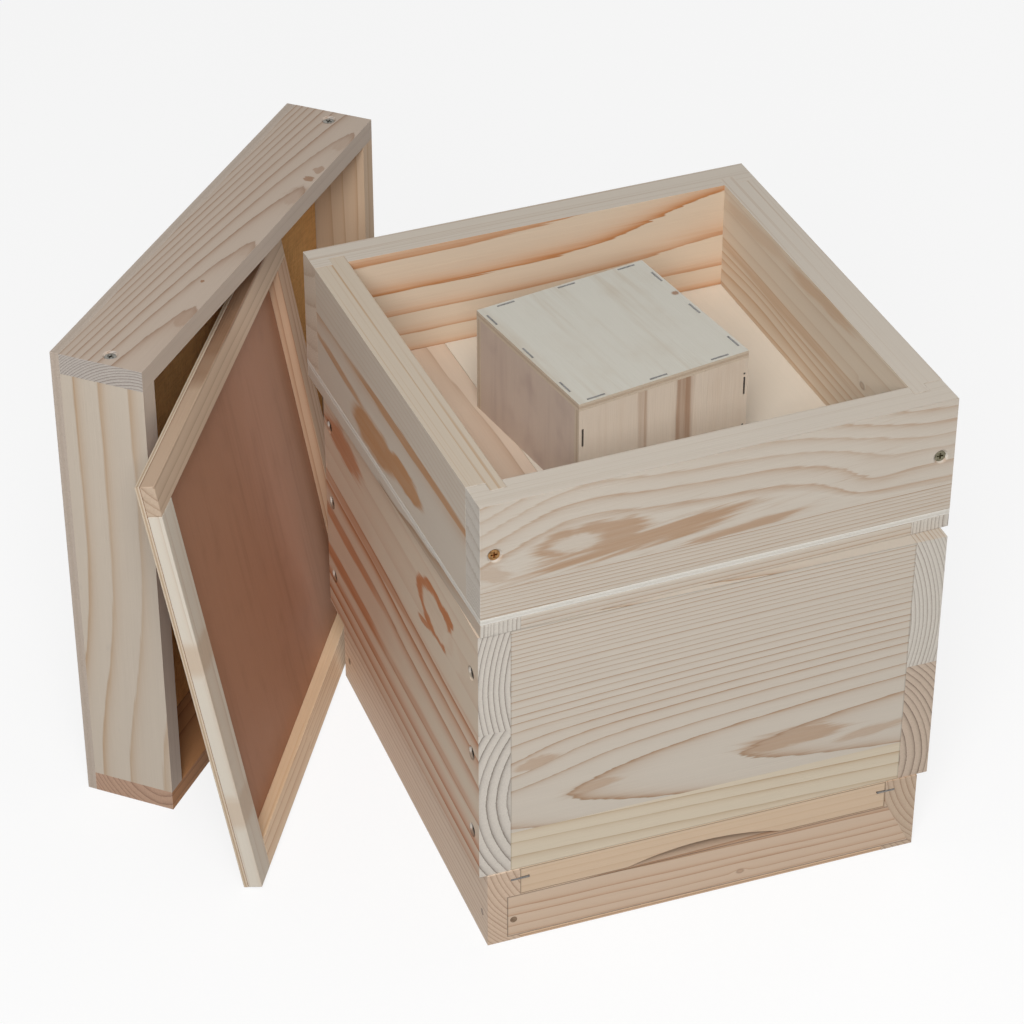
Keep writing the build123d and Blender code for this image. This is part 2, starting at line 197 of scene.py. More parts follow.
# Markings of fibreboard
LYING_FIBRES = Mark((9, 1.3, 1.3), detail=3.0)
CROSSING_FIBRES = Mark((1.3, 9, 1.3), step=1.7, detail=3.0)
FIBRE_CLOUD = Mark((60, 60, 60), step=3.1)
PITS = Mark((2.2, 2.2, 2.2), step=4.3, detail=3.0)

# Markings of the cream sheet
SHEET_CLOUD = Mark((70, 55, 40), detail=3.0)
SPECKS = Mark((1.6, 1.6, 1.6), step=1.9)
RUBS = Mark((90, 2.5, 40), step=3.3, detail=3.0)

# Markings of plated steel
DULL_PATCHES = Mark((1.6, 1.6, 1.6), detail=3.0)
SCRATCHES = Mark((0.25, 2.4, 0.25), step=2.1)


# Node building

class Field:
    """A value that varies over a surface. Arithmetic on it adds maths nodes to its material."""

    def __init__(self, tree, socket):
        self.tree = tree
        self.socket = socket

    def maths(self, operation, *others):
        inputs = dict(enumerate((self, *others)))
        return make(self.tree, "ShaderNodeMath", inputs, operation=operation)

    def __add__(self, other):
        return self.maths("ADD", other)

    def __sub__(self, other):
        return self.maths("SUBTRACT", other)

    def __mul__(self, other):
        return self.maths("MULTIPLY", other)

    def __truediv__(self, other):
        return self.maths("DIVIDE", other)

    def squared(self):
        return self.maths("POWER", 2.0)

    def left(self):
        """What it leaves of 1."""
        return self * -1.0 + 1.0

    def decay(self, rate=1.0):
        """1 where it is 0, falling towards 0 as it grows."""
        return (self * -rate).maths("EXPONENT")

    def ramp(self, low, high, start=0.0, end=1.0):
        """Start at low, end at high, smooth between them and steady outside."""
        inputs = {"Value": self, "From Min": low, "From Max": high, "To Min": start, "To Max": end}
        return make(self.tree, "ShaderNodeMapRange", inputs, interpolation_type="SMOOTHSTEP")


def make(tree, kind, inputs=None, output=0, **settings):
    """Add a node with its properties and inputs set, and give one of its outputs."""
    node = tree.nodes.new(kind)
    for name, value in settings.items():
        setattr(node, name, value)
    for key, value in (inputs or {}).items():
        if isinstance(value, Field):
            tree.links.new(value.socket, node.inputs[key])
        else:
            node.inputs[key].default_value = value
    return Field(tree, node.outputs[output]) if node.outputs else None


def mixed(share, first, second):
    """Blend two colours by a field."""
    inputs = {0: share, 6: first, 7: second}
    return make(share.tree, "ShaderNodeMix", inputs, output=2, data_type="RGBA")


def mixed_value(share, first, second):
    """Blend two fields by a third."""
    return (second - first) * share + first


def scaled(colour, share):
    """A colour made lighter or darker by a field."""
    inputs = {0: colour, "Scale": share}
    return make(share.tree, "ShaderNodeVectorMath", inputs, operation="SCALE")


def noise(place, mark, seed):
    """Smooth noise about 0, for one kind of marking."""
    tree = place.tree
    own_seed = seed + mark.step if mark.step else seed
    fine = tuple(1.0 / length for length in mark.size)
    stretched = make(tree, "ShaderNodeVectorMath", {0: place, 1: fine}, operation="MULTIPLY")
    inputs = {"Vector": stretched, "W": own_seed, "Scale": 1.0, "Detail": mark.detail}
    level = make(tree, "ShaderNodeTexNoise", inputs, noise_dimensions="4D")
    return (level - NOISE_MIDDLE) * NOISE_SPREAD


def noise_along(value, seed):
    """Smooth noise about 0 along one field."""
    inputs = {"W": value + seed, "Scale": 1.0, "Detail": 1.0}
    level = make(value.tree, "ShaderNodeTexNoise", inputs, noise_dimensions="1D")
    return (level - NOISE_MIDDLE) * NOISE_SPREAD


def hump(along, across, middle_along, middle_across, half_length, half_height):
    """A smooth hump of height 1 at a place on a board's face."""
    u = ((along - middle_along) / half_length).squared()
    v = ((across - middle_across) / half_height).squared()
    return (u + v).decay()


def new_material(name):
    """An empty node material and its tree."""
    material = bpy.data.materials.new(name)
    material.use_nodes = True
    material.node_tree.nodes.clear()
    return material, material.node_tree


def finish_material(tree, colour, roughness, height, depth, specular=0.3, metallic=0.0):
    """End a material in a shader with bump. Depth is how deep the bump looks, in metres."""
    normal = make(tree, "ShaderNodeBump", {"Height": height, "Strength": 1.0, "Distance": depth})
    inputs = {
        "Base Color": colour,
        "Roughness": roughness,
        "Metallic": metallic,
        "Specular IOR Level": specular,
        "Normal": normal,
    }
    shader = make(tree, "ShaderNodeBsdfPrincipled", inputs)
    make(tree, "ShaderNodeOutputMaterial", {"Surface": shader})


def seed_of(name):
    """A seed of the piece's own."""
    return PIECE_SEED * sorted(nodes).index(name)


def dress(name, material):
    """Give a piece its one material."""
    slots = nodes[name].data.materials
    slots.clear()
    slots.append(material)


# Boards

class Board:
    """A box-like piece: its middle, its axes along, across and through it, and its sizes."""

    def __init__(self, name, short_grain=False):
        self.seed = seed_of(name)
        mesh = nodes[name].data
        points = np.array([vertex.co for vertex in mesh.vertices])
        normals = np.array([face.normal for face in mesh.polygons])
        areas = np.array([face.area for face in mesh.polygons])
        through = self.main_direction(normals, areas)
        level = np.abs(normals @ through) < SQUARE_COSINE
        first = self.main_direction(normals[level], areas[level])
        second = np.cross(through, first)
        along, across = sorted((first, second), key=lambda axis: np.ptp(points @ axis), reverse=True)
        if short_grain:
            along, across = across, along
        axes = [self.facing_positive(axis) for axis in (along, across, through)]
        if np.linalg.det(axes) < 0:
            axes[2] = -axes[2]
        self.axes = axes
        ends = [((points @ axis).min(), (points @ axis).max()) for axis in axes]
        self.middle = sum(axis * (low + high) / 2 for axis, (low, high) in zip(axes, ends))
        self.size = [(high - low) / MILLIMETRE for low, high in ends]

    @staticmethod
    def facing_positive(axis):
        """An axis turned so that its largest part is positive."""
        return axis * np.sign(axis[np.abs(axis).argmax()])

    @staticmethod
    def main_direction(normals, areas):
        """The direction that most of the area faces, either way."""
        _, group = np.unique(np.round(np.abs(normals), 2), axis=0, return_inverse=True)
        largest = np.bincount(group.ravel(), weights=areas).argmax()
        alike = normals[group.ravel() == largest]
        total = sum(Board.facing_positive(normal) for normal in alike)
        return total / np.linalg.norm(total)

    def place(self, tree):
        """Position on the board in millimetres, as one field and as three."""
        turn = Matrix(np.transpose(self.axes).tolist()).to_euler()
        corner = make(tree, "ShaderNodeTexCoord", output="Object")
        inputs = {
            "Vector": corner,
            "Location": tuple(self.middle),
            "Rotation": tuple(turn),
            "Scale": (MILLIMETRE,) * 3,
        }
        whole = make(tree, "ShaderNodeMapping", inputs, vector_type="TEXTURE")
        return whole, [make(tree, "ShaderNodeSeparateXYZ", {0: whole}, output=axis) for axis in "XYZ"]

    def facing(self, tree, axis):
        """1 on faces that look along one of the board's axes, 0 on faces beside it."""
        normal = make(tree, "ShaderNodeTexCoord", output="Normal")
        inputs = {0: normal, 1: tuple(self.axes[axis])}
        dot = make(tree, "ShaderNodeVectorMath", inputs, output="Value", operation="DOT_PRODUCT")
        return dot.maths("ABSOLUTE").ramp(*FACING_COSINES)


def ease_edges(name, width):
    """Round the sharp edges of a piece by a hair."""
    obj = nodes[name]
    weld = obj.modifiers.new("weld", "WELD")
    weld.merge_threshold = WELD_DISTANCE
    flatten = obj.modifiers.new("flatten", "DECIMATE")
    flatten.decimate_type = "DISSOLVE"
    flatten.angle_limit = math.radians(FLAT_ANGLE)
    bevel = obj.modifiers.new("ease", "BEVEL")
    bevel.width = width
    bevel.segments = EASE_SEGMENTS
    bevel.limit_method = "ANGLE"
    bevel.angle_limit = math.radians(SHARP_ANGLE)
    normals = obj.modifiers.new("normals", "WEIGHTED_NORMAL")
    normals.keep_sharp = False


@dataclass
class Plank:
    """One piece of a pine board, glued edge to edge with the next.

    pith is where the middle line of the tree crosses the board's middle, across and through it, and
    slope is how that line runs along the board. ring is the width of a growth ring at the board's
    middle, and phase moves the rings. The plank reaches up from the place above, across the board.
    fade is how far latewood fades inwards, as a share of a ring, spread how much further for each
    millimetre from the pith, soft how softly it starts outside, rim how dark that outside edge is,
    and strength how dark it is all over. Rings nearer the pith than the count clear don't show. Each
    bend is (along, across, half length, half height, lift) and moves the rings there by lift.
    """
    tone: str
    pith: tuple
    ring: float
    slope: tuple = (0.0, 0.0)
    phase: float = 0.0
    above: float = 0.0
    fade: float = 0.20
    spread: float = 0.0
    soft: float = 0.03
    rim: float = 0.26
    strength: float = 1.0
    clear: float = 0.0
    bends: tuple = ()

    @property
    def rings_per_area(self):
        """Rings have equal areas, so they are narrower further from the pith."""
        return 1 / (2 * self.ring * math.hypot(*self.pith))


@dataclass
class Patch:
    """An oval stain of latewood on a board's face: its middle, its half sizes and its strength.

    tilt is how it rises along the board, edge how softly it ends, ragged how far it breaks up into
    strokes along the fibres, and crooked how uneven its outline is. A pale one takes latewood away.
    """
    along: float
    across: float
    half_length: float
    half_height: float
    strength: float
    tilt: float = 0.0
    edge: float = 0.2
    ragged: float = 0.12
    crooked: float = 0.35
    pale: bool = False

    def share(self, along, across, seed):
        """How much latewood it adds or takes away at a place."""
        level = across - (along - self.along) * self.tilt
        place = make(along.tree, "ShaderNodeCombineXYZ", {0: along, 1: level})
        strokes = noise(place, PATCH_STROKES, seed)
        bulge = Mark((BULGE_SHARE * self.half_length, self.half_height, 1.0), step=0.7)
        level = level + noise(place, bulge, seed) * (self.crooked * self.half_height)
        oval = hump(along, level, self.along, self.across, self.half_length, self.half_height)
        ragged_oval = oval + strokes * self.ragged
        share = ragged_oval.ramp(OVAL_EDGE - self.edge, OVAL_EDGE + self.edge, 0.0, self.strength)
        return share * (strokes * 0.1 + 0.92)


def chosen(steps, values):
    """The first value, or the value of the last step that is 1."""
    result = values[0]
    for step, before, after in zip(steps, values, values[1:]):
        result = step * (after - before) + result
    return result


def chosen_colour(steps, colours):
    """The first colour, or the colour of the last step that is 1."""
    result = colours[0]
    for step, colour in zip(steps, colours[1:]):
        result = mixed(step, result, colour)
    return result


class Grain:
    """The growth rings of a pine board, which run through it to its end grain.

    beside is how far a place lies beside the pith, count how many rings it lies out from there, and
    each a number of that ring's own, from 0 to 1.
    """

    def __init__(self, board, tree, planks, joints, knots, wander, uneven, ragged):
        self.board = board
        self.tree = tree
        self.planks = planks
        self.place, (self.along, self.across, self.through) = board.place(tree)
        self.glued = [(self.across - plank.above).maths("GREATER_THAN", 0.0) for plank in planks[1:]]
        teeth = (self.across / JOINT_TOOTH_WIDTH).maths("PINGPONG", 1.0) * JOINT_TOOTH_LENGTH
        self.jointed = [(self.along - joint + teeth).maths("GREATER_THAN", 0.0) for joint in joints]
        self.seed = board.seed
        for step in self.glued + self.jointed:
            self.seed = step * PLANK_SEED + self.seed
        self.wave = self.marking(WAVE)
        self.feather = self.marking(FEATHER)
        self.beside = (self.across - self.pith(0) + self.strayed(wander)).maths("ABSOLUTE") + TIP_DRAW
        self.count = self.rings_out(knots, uneven, ragged)
        number = self.count.maths("FLOOR") + self.seed
        self.each = make(tree, "ShaderNodeTexWhiteNoise", {"W": number}, noise_dimensions="1D")

    def marking(self, mark):
        """One kind of marking on this board."""
        return noise(self.place, mark, self.seed)

    def by_plank(self, quality):
        """A quality of the plank that a place lies in."""
        return chosen(self.glued, [getattr(plank, quality) for plank in self.planks])

    def tones(self):
        """Colours of earlywood and latewood on the faces, then on the end grain."""
        tones = [TONES[plank.tone] for plank in self.planks]
        return [chosen_colour(self.glued, colours) for colours in zip(*tones)]

    def pith(self, axis):
        """Where the pith runs, across the board for axis 0 and through it for axis 1."""
        slope = chosen(self.glued, [plank.slope[axis] for plank in self.planks])
        return self.along * slope + chosen(self.glued, [plank.pith[axis] for plank in self.planks])

    def strayed(self, wander):
        """How far the rings stray across the board."""
        moved = self.marking(DRIFT) * wander + self.wave * (WAVE_SHARE * wander)
        for plank in self.planks:
            here = chosen(self.glued, [float(other is plank) for other in self.planks])
            for *spot, lift in plank.bends:
                moved = moved - hump(self.along, self.across, *spot) * lift * here
        for step in self.jointed:
            moved = moved + step * JOINT_SHIFT
        return moved

    def rings_out(self, knots, uneven, ragged):
        """How many rings out from the pith a place lies: uneven ones, ragged along the fibres."""
        area = self.beside.squared() + (self.through - self.pith(1)).squared()
        count = area * self.by_plank("rings_per_area") + self.by_plank("phase") + self.feather * ragged
        for *middle, radius in knots:
            reach = [share * radius for share in KNOT_REACH]
            count = count + hump(self.along, self.across, *middle, *reach) * KNOT_PUSH
        return count + noise_along(count / RINGS_ALIKE, self.seed) * uneven

    def latewood(self):
        """How much latewood shows, and how dark its rim is.

        It ends each ring, sharp at the rim outside and fading inwards.
        """
        inside = self.count.maths("FRACT").left()
        fade = self.beside * self.by_plank("spread") + self.by_plank("fade")
        bold = self.marking(BOLDNESS).ramp(-1.2, 0.6, 0.7, 1.1)
        amount = (self.each * 0.35 + 0.7) * bold * self.by_plank("strength")
        amount = amount * (inside / self.by_plank("soft")).ramp(0.0, 1.0)
        amount = amount * (self.count - self.by_plank("clear")).ramp(-0.1, 0.1)
        depth = inside / fade
        return depth.decay() * amount, depth.decay(1 / LATEWOOD_EDGE) * amount * self.by_plank("rim")

    def end_latewood(self, end_fine):
        """How much latewood shows on the end grain."""
        inside = (self.count * end_fine).maths("FRACT").left()
        return inside.decay(1 / END_FADE) * inside.ramp(0.0, END_SOFT) * (self.each * 0.3 + 0.85)

    def patched(self, late_share, patches):
        """Latewood with patches of more or less of it."""
        for number, patch in enumerate(patches):
            share = patch.share(self.along, self.across, self.seed + PATCH_SEED * number)
            if patch.pale:
                late_share = late_share * share.left()
            else:
                late_share = late_share.maths("MAXIMUM", share)
        return late_share.maths("MINIMUM", 1.0)

    def knotted(self, colour, knots):
        """A colour with brown knots in dark outlines."""
        for knot_along, knot_across, radius in knots:
            u = (self.along - knot_along) / KNOT_STRETCH
            v = self.across - knot_across + self.wave * (0.35 * radius)
            distance = (u.squared() + v.squared()).maths("SQRT") / radius + self.feather * 0.06
            outline = ((distance - 1.0) / 0.3).squared().decay()
            colour = mixed(distance.ramp(1.15, 0.7, 0.0, 0.4), colour, KNOT_BROWN)
            colour = mixed(outline * 0.3, colour, KNOT_HEART)
        return colour

    def bored(self, shade, bores):
        """A shade with painted shade darkening the screw holes."""
        for spot in bores:
            bore = hump(self.along, self.across, *spot, BORE_RADIUS, BORE_RADIUS)
            shade = shade * bore.ramp(OVAL_EDGE - BORE_SOFT, OVAL_EDGE + BORE_SOFT, 1.0, BORE_SHADE)
        return shade

    def seam_shaded(self, shade, seam):
        """A shade with a dark outline round the wide faces: painted shade of the gaps where the board meets
        the next ones.
        """
        to_end = self.along.maths("ABSOLUTE") * -1.0 + self.board.size[0] / 2
        to_edge = self.across.maths("ABSOLUTE") * -1.0 + self.board.size[1] / 2
        gap = to_end.maths("MINIMUM", to_edge).ramp(0.0, SEAM_SHADE_WIDTH, seam, 0.0)
        return shade * (gap * self.board.facing(self.tree, 2)).left()


# Materials

def pine(name, *planks, edges=None, wander=1.5, uneven=0.3, ragged=0.04, patches=(), knots=(),
         joints=(), bores=(), stains=0.0, end_fine=1.0, seam=0.0):
    """Sawn pine, in planks that are glued edge to edge.

    edges is the tone of the long narrow edges, where they differ. wander is how far the grain
    strays, uneven how much the rings' widths differ and ragged how torn their lines are. A knot is
    (along, across, radius). joints are finger joints, by their place along the board, and bores are
    screw holes, by their place along and across it, with shade painted dark inside them. stains is
    how grey its stains are, end_fine makes the rings on the ends finer, and seam is how dark the
    painted shade is along the outline of its wide faces, where the board meets the next ones.
    """
    board = Board(name)
    material, tree = new_material(name)
    grain = Grain(board, tree, planks, joints, knots, wander, uneven, ragged)
    late_share, rim_share = grain.latewood()
    late_share = grain.patched(late_share, patches)

    early, late, end_early, end_late = grain.tones()
    if edges:
        narrow = board.facing(tree, 1)
        early = mixed(narrow, early, TONES[edges][0])
        late = mixed(narrow, late, TONES[edges][1])
        late_share = mixed_value(narrow, late_share, grain.marking(EDGE_LINES).ramp(0.0, 1.2, 0.0, 0.8))
        rim_share = rim_share * narrow.left()
    fibres = grain.marking(FIBRES)
    streaks = grain.marking(STREAKS)
    tint = grain.marking(TINT)
    colour = mixed(late_share + tint.ramp(0.2, 1.5, 0.0, 0.12), early, late)
    shade = rim_share * -1.0 + fibres * 0.018 + streaks * 0.012 + tint * 0.015 + 1.0
    colour = grain.knotted(colour, knots)
    # Painted shade inside the screw holes
    shade = grain.bored(shade, bores)
    # Painted shade along the seams, where the board meets the next ones
    if seam:
        shade = grain.seam_shaded(shade, seam)
    if stains:
        cloud = grain.marking(STAIN_CLOUD)
        colour = mixed(cloud.ramp(0.55, 1.3, 0.0, stains), colour, STAIN_GREY)

    # End grain: dark rings over a rough sawn face
    end = board.facing(tree, 0)
    pores = grain.marking(PORES)
    colour = mixed(end, colour, mixed(grain.end_latewood(end_fine), end_early, end_late))
    shade = mixed_value(end, shade, pores * 0.06 + 1.0)

    roughness = late_share * -0.08 + fibres * 0.04 + 0.66
    height = fibres * 0.35 + late_share * 0.6 + pores * end * 0.8
    finish_material(tree, scaled(colour, shade), roughness, height, PINE_RELIEF)
    dress(name, material)
    ease_edges(name, BOARD_EASE)


def plywood(name, face, streak, edge, edge_dark, short_grain=False, bands=(), knots=(), streaky=0.5,
            blotchy=0.3):
    """Thin plywood: a veneer with broad soft streaks, and its layers along the edges.

    face and streak are the veneer's colours, edge and edge_dark those of its layers. streaky and
    blotchy are how strongly the streak colour shows. Each band is (across, half width, strength), a
    dark stripe along the grain, and each knot is (along, across, radius).
    """
    board = Board(name, short_grain)
    material, tree = new_material(name)
    place, (along, across, through) = board.place(tree)
    seed = board.seed
    broad = noise(place, BROAD_STREAKS, seed)
    narrow = noise(place, NARROW_STREAKS, seed)
    cloud = noise(place, VENEER_CLOUD, seed)
    fibres = noise(place, VENEER_FIBRES, seed)
    colour = mixed((broad * 0.7 + narrow * 0.45).ramp(-0.1, 1.5, 0.0, streaky), face, streak)
    colour = mixed(cloud.ramp(0.0, 1.6, 0.0, blotchy), colour, streak)
    for middle, half_width, strength in bands:
        edge_noise = narrow * (0.25 * half_width) + broad * (0.35 * half_width)
        distance = ((across - middle + edge_noise) / half_width).maths("ABSOLUTE")
        inside = distance.ramp(1.15, 0.55, 0.0, strength) * (narrow * 0.22 + 0.85)
        colour = mixed(inside, colour, KNOT_BROWN)
    for *middle, radius in knots:
        spot = hump(along + fibres * 0.4, across + narrow * 0.8, *middle, radius, radius)
        colour = mixed(spot.ramp(0.2, 0.8, 0.0, 0.8), colour, KNOT_BROWN)

    # Layers on the edges, every second one dark
    side = board.facing(tree, 2).left()
    layer = ((through / board.size[2] + 0.5) * PLY_LAYERS).maths("FLOOR").maths("MODULO", 2.0)
    grains = noise(place, LAYER_GRAINS, seed)
    colour = mixed(side, colour, mixed(layer * 0.75, edge, edge_dark))
    shade = fibres * 0.02 + grains * side * 0.05 + 1.0
    roughness = fibres * 0.03 + narrow * 0.03 + 0.6
    height = fibres * 0.5 + grains * side * 1.0
    finish_material(tree, scaled(colour, shade), roughness, height, PLYWOOD_RELIEF, specular=0.15)
    dress(name, material)
    ease_edges(name, SHEET_EASE)


def fibreboard(name, light, dark):
    """Soft brown fibreboard: short tangled fibres and small pits."""
    board = Board(name)
    material, tree = new_material(name)
    place, _ = board.place(tree)
    seed = board.seed
    lying = noise(place, LYING_FIBRES, seed)
    crossing = noise(place, CROSSING_FIBRES, seed)
    cloud = noise(place, FIBRE_CLOUD, seed)
    pits = noise(place, PITS, seed)
    fibre = lying + crossing
    colour = mixed((fibre * 0.5 + cloud * 0.4).ramp(-1.2, 1.2), light, dark)
    shade = pits.ramp(-1.4, -0.4, 0.86, 1.0) + fibre * 0.03
    height = fibre * 0.6 + pits * 0.8
    roughness = pits * 0.04 + 0.85
    finish_material(tree, scaled(colour, shade), roughness, height, FIBREBOARD_RELIEF, specular=0.2)
    dress(name, material)
    ease_edges(name, BOARD_EASE)


def cream_sheet(name, face, speck):
    """Smooth pale hardboard, faintly clouded, with a few specks and rubbed marks."""
    board = Board(name)
    material, tree = new_material(name)
    place, _ = board.place(tree)
    seed = board.seed
    cloud = noise(place, SHEET_CLOUD, seed)
    specks = noise(place, SPECKS, seed)
    rubs = noise(place, RUBS, seed)
    colour = mixed(cloud.ramp(-0.4, 1.6, 0.0, 0.25), face, speck)
    colour = mixed(specks.ramp(1.0, 1.5, 0.0, 0.5), colour, speck)
    shade = rubs * 0.012 + cloud * 0.012 + 1.0
    roughness = rubs * 0.05 + cloud * 0.03 + 0.5
    height = specks * 0.3 + rubs * 0.3
    finish_material(tree, scaled(colour, shade), roughness, height, SHEET_RELIEF, specular=0.4)
    dress(name, material)
    ease_edges(name, SHEET_EASE)


def plated(name, light, dull, roughness):
    """Plated steel: bright, with dull patches and fine scratches."""
    material, tree = new_material(name)
    corner = make(tree, "ShaderNodeTexCoord", output="Object")
    place = make(tree, "ShaderNodeVectorMath", {0: corner, "Scale": 1 / MILLIMETRE}, operation="SCALE")
    seed = seed_of(name)
    patches = noise(place, DULL_PATCHES, seed)
    scratches = noise(place, SCRATCHES, seed)
    colour = mixed(patches.ramp(-0.6, 1.2, 0.0, 0.8), light, dull)
    rough = patches * 0.1 + scratches * 0.06 + roughness
    height = scratches * 0.4 + patches * 0.3
    finish_material(tree, colour, rough, height, METAL_RELIEF, specular=0.5, metallic=1.0)
    dress(name, material)


# Hive floor
pine("floor_left_rail", Plank("rose", (40, 60), 3.2), wander=3.0)
pine("floor_right_rail", Plank("peach", (35, 60), 3.6), wander=3.0)
pine("floor_front_rail", Plank("peach", (30, 24), 6.0, slope=(0.02, -0.03), strength=0.8), wander=3.0,
     knots=[(19.5, -8.4, 1.5)], seam=0.65)
pine("floor_back_rail", Plank("peach", (12, 30), 5.0), wander=4.0)
pine("entrance_strip", Plank("honey", (-70, 40), 5.0, strength=0.3), seam=0.65)
plywood("floor_panel", rgb(190, 160, 132), rgb(160, 122, 92), rgb(206, 176, 147), rgb(172, 139, 112))

# Brood box
# The left wall's screw places, where painted shade darkens the bores
LEFT_SCREWS = [(along, across) for along in (-136, 138) for across in (-63, -4, 56)]
pine("brood_front_wall",
     Plank("butter", (-150, 60), 5.0, slope=(-0.03, 0.0), phase=0.862),
     Plank("pale", (-40, -16), 8.75, slope=(0.0, 0.1), phase=0.846, above=-61, fade=0.14, strength=1.1,
           bends=[(-135, -14, 45, 18, -10)]),
     wander=1.0, uneven=0.16, seam=0.3,
     patches=[Patch(54, -37, 34, 7, 0.7, ragged=0.2), Patch(-112, -11, 14, 4, 0.55, tilt=0.15),
              Patch(-76, -39, 17, 4.5, 0.6, tilt=0.1, edge=0.3, ragged=0.15),
              Patch(108, -46, 26, 3.5, 0.5, tilt=0.1, edge=0.3, ragged=0.2)])
pine("brood_left_wall",
     Plank("tan", (-32, 85), 6.06, slope=(0.019, -0.004), phase=0.395, fade=0.02, spread=0.011,
           bends=[(45, -4, 45, 18, 3)]),
     Plank("tan", (48, 140), 3.2, above=18, strength=0.2),
     wander=1.0, uneven=0.02, bores=LEFT_SCREWS,
     patches=[Patch(-71, 53, 34, 18, 0.9, edge=0.06, ragged=0.05, crooked=0.2),
              Patch(-73, 53, 24, 13, 1.0, edge=0.1, ragged=0.06, crooked=0.3, pale=True),
              Patch(-103, 47, 16, 11, 1.0, edge=0.1, pale=True),
              Patch(-92, 66, 13, 4.5, 0.9, edge=0.1),
              Patch(-52, 33, 12, 2.5, 0.8, tilt=-0.15),
              Patch(109, 59, 40, 10, 0.75, ragged=0.2),
              Patch(100, -35, 85, 60, 0.2, edge=0.36, ragged=0.02),
              Patch(118, -46.5, 102, 6, 0.85, edge=0.36, ragged=0.05),
              Patch(118, -63.5, 102, 4, 0.6, edge=0.36, ragged=0.05),
              Patch(112, -14, 92, 6, 0.8, edge=0.36, ragged=0.05),
              Patch(60, 13, 110, 5, 0.6, edge=0.36, ragged=0.05),
              Patch(-60, -46.5, 110, 5, 0.45, edge=0.36)])
pine("brood_right_wall",
     Plank("brown", (-75, -80), 3.3),
     Plank("pale", (30, -140), 2.6, above=-3),
     uneven=0.12)
pine("brood_back_wall", Plank("pale", (25, -12), 8.0, slope=(0.02, 0.05)), wander=2.0)

# Hanging frames
FRAME_COUNT = sum(name.endswith("_top_bar") for name in nodes)
for number in range(1, FRAME_COUNT + 1):
    pine(f"frame_{number}_top_bar", Plank("cream", (20 + 9 * number, 30), 4.0))
    pine(f"frame_{number}_lower_bars", Plank("cream", (30 + 7 * number, 40), 4.0))

# Feeder box
pine("feeder_front_wall",
     Plank("linen", (-150, 0), 2.1),
     Plank("linen", (-110, -29), 12.6, above=-19.5, fade=0.24, soft=0.14, rim=0.05, clear=5.5,
           bends=[(-85, 0, 40, 200, 7), (-165, 0, 40, 200, -15),
                  (150, 0, 85, 200, -26), (95, -5, 25, 15, -9)]),
     wander=1.4, uneven=0.05, ragged=0.11,
     patches=[Patch(-82, 1, 36, 10, 0.8, edge=0.14, crooked=0.25),
              Patch(-92, 0, 15, 6.5, 0.95, edge=0.25, ragged=0.15, pale=True),
              Patch(-48, -8, 70, 6.5, 0.85, tilt=0.09, edge=0.3, ragged=0.34),
              Patch(15, -16.5, 38, 3, 0.75, tilt=0.08, edge=0.25, ragged=0.25),
              Patch(-145, -8, 14, 5, 0.4, tilt=-0.3, ragged=0.2)],
     edges="chalk")
pine("feeder_back_wall",
     Plank("warm", (81, -29), 16.9, phase=0.586, fade=0.24, strength=1.15, bends=[(140, 40, 90, 38, 26)]),
     edges="dim", wander=1.2, uneven=0.02, ragged=0.06)
pine("feeder_left_wall",
     Plank("ash", (-90, 40), 45.0, phase=0.556, fade=0.11, rim=0.14, strength=1.5,
           bends=[(-30, 10, 70, 100, 4)]),
     Plank("ash", (-90, 40), 5.0, above=13.5, strength=0.3, bends=[(-125, 25, 60, 60, -6)]),
     edges="cream", wander=1.0, uneven=0.02,
     patches=[Patch(100, -2, 40, 12, 0.6, edge=0.36, pale=True),
              Patch(-45, 7.5, 112, 4, 0.85, edge=0.2, ragged=0.08, crooked=0.25),
              Patch(-24, -20.5, 33, 9, 0.9, edge=0.12, ragged=0.05, crooked=0.3),
              Patch(26, -24.5, 38, 13, 0.9, edge=0.16, ragged=0.05, crooked=0.2),
              Patch(88, -10, 50, 3, 0.75, tilt=0.06, edge=0.3, ragged=0.1)])
pine("feeder_right_wall",
     Plank("straw", (-75, 30), 4.95, phase=0.0975, fade=0.45, soft=0.08, rim=0.15, strength=0.95,
           bends=[(70, -16, 55, 14, 4)]),
     Plank("straw", (-75, 30), 15.0, above=1.5, strength=0.35),
     edges="dim", wander=2.0, uneven=0.1, knots=[(-72, 6, 2)],
     patches=[Patch(-15, 34, 48, 5, 0.6, tilt=-0.05, edge=0.3),
              Patch(80, 30, 52, 5, 0.35, tilt=-0.07, edge=0.3),
              Patch(50, -3, 110, 4, 0.6, edge=0.36)])
for side in ("front", "back"):
    pine(f"feeder_rim_{side}", Plank("pale", (20, 45), 3.6))
for side in ("left", "right"):
    pine(f"feeder_rim_{side}", Plank("pale", (80, 4), 2.6))
BASE_EDGE = rgb(216, 212, 204)
plywood("feeder_base_ply", rgb(202, 192, 178), rgb(186, 168, 146), BASE_EDGE, rgb(206, 200, 190))
pine("feeder_floor_strip", Plank("rose", (10, 50), 4.0, strength=0.7), wander=5.0)
cream_sheet("feeder_floor_sheet", rgb(222, 212, 197), rgb(204, 189, 169))

